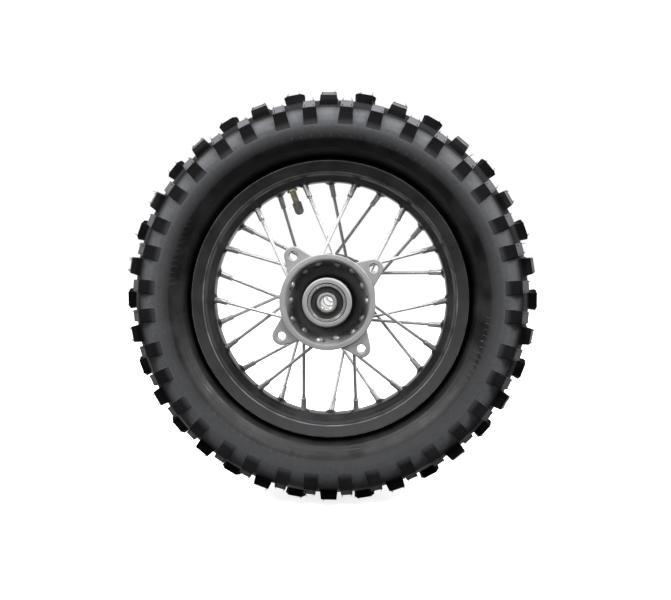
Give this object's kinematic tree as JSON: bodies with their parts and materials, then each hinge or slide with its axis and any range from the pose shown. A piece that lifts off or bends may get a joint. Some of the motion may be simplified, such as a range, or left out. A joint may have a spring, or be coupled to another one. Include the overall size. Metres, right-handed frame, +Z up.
{
  "type": "spoked wheel",
  "caption": "Small off-road motorcycle wheel: knobbly tyre on a black steel rim, crossed wire spokes and a cast hub with sealed bearings.",
  "frame": {"origin": "centre of the wheel, on the axle line midway between the hub's two end faces", "axes": "+Y along the axle from the four-lug side to the other side, +Z up, +X to the right when the lug side faces the viewer"},
  "size_m": [0.4124, 0.114, 0.4098],
  "materials": {
    "tyre": "moulded knobbly rubber, matt",
    "inner_tube": "smooth butyl rubber",
    "rim_strip": "flat rubber strip",
    "rim_enamel": "gloss black enamel on rolled steel",
    "hub_casting": "cast aluminium with a grey coat, machined end faces",
    "spoke_zinc": "bright zinc plate on drawn wire",
    "bearing_steel": "ground bearing steel",
    "bearing_seal": "moulded nitrile rubber",
    "spacer_zinc": "zinc plated steel tube",
    "valve_brass": "turned brass",
    "valve_cap": "black moulded plastic"
  },
  "bodies": {
    "axle_sleeve": {"near_bearing_inner_ring": "bearing_steel", "far_bearing_inner_ring": "bearing_steel", "bearing_spacer": "spacer_zinc"},
    "wheel": {"tyre": "tyre", "inner_tube": "inner_tube", "rim_strip": "rim_strip", "rim": "rim_enamel", "hub": "hub_casting", "spoke_near_01": "spoke_zinc", "spoke_near_02": "spoke_zinc", "spoke_near_03": "spoke_zinc", "spoke_near_04": "spoke_zinc", "spoke_near_05": "spoke_zinc", "spoke_near_06": "spoke_zinc", "spoke_near_07": "spoke_zinc", "spoke_near_08": "spoke_zinc", "spoke_near_09": "spoke_zinc", "spoke_near_10": "spoke_zinc", "spoke_near_11": "spoke_zinc", "spoke_near_12": "spoke_zinc", "spoke_near_13": "spoke_zinc", "spoke_near_14": "spoke_zinc", "spoke_far_01": "spoke_zinc", "spoke_far_02": "spoke_zinc", "spoke_far_03": "spoke_zinc", "spoke_far_04": "spoke_zinc", "spoke_far_05": "spoke_zinc", "spoke_far_06": "spoke_zinc", "spoke_far_07": "spoke_zinc", "spoke_far_08": "spoke_zinc", "spoke_far_09": "spoke_zinc", "spoke_far_10": "spoke_zinc", "spoke_far_11": "spoke_zinc", "spoke_far_12": "spoke_zinc", "spoke_far_13": "spoke_zinc", "spoke_far_14": "spoke_zinc", "near_bearing_outer_ring": "bearing_steel", "near_bearing_outside_seal": "bearing_seal", "near_bearing_inside_seal": "bearing_seal", "far_bearing_outer_ring": "bearing_steel", "far_bearing_outside_seal": "bearing_seal", "far_bearing_inside_seal": "bearing_seal", "valve_stem": "valve_brass", "valve_rim_nut": "valve_brass", "valve_core": "valve_brass"},
    "near_balls": {"near_bearing_ball_cage": "bearing_steel"},
    "far_balls": {"far_bearing_ball_cage": "bearing_steel"},
    "valve_cap": {"valve_cap": "valve_cap"},
    "valve_pin": {"valve_pin": "valve_brass"}
  },
  "joints": [
    {"name": "wheel_spin", "type": "hinge", "parent": "axle_sleeve", "child": "wheel", "pos_m": [0, 0, 0], "axis": [0, 1, 0], "continuous": true},
    {"name": "near_ball_orbit", "type": "hinge", "parent": "axle_sleeve", "child": "near_balls", "pos_m": [0, -0.05, 0], "axis": [0, 1, 0], "continuous": true},
    {"name": "far_ball_orbit", "type": "hinge", "parent": "axle_sleeve", "child": "far_balls", "pos_m": [0, 0.05, 0], "axis": [0, 1, 0], "continuous": true},
    {"name": "valve_cap_off", "type": "slide", "parent": "wheel", "child": "valve_cap", "axis": [0.3303, 0, -0.9439], "range_m": [0, 0.016]},
    {"name": "valve_pin_press", "type": "slide", "parent": "wheel", "child": "valve_pin", "axis": [-0.3303, 0, 0.9439], "range_m": [0, 0.0012], "stiffness_N_per_m": 1500, "springref_m": -0.002}
  ],
  "couplings": [
    {"joint": "near_ball_orbit", "follows": "wheel_spin", "ratio": 0.662},
    {"joint": "far_ball_orbit", "follows": "wheel_spin", "ratio": 0.662}
  ]
}
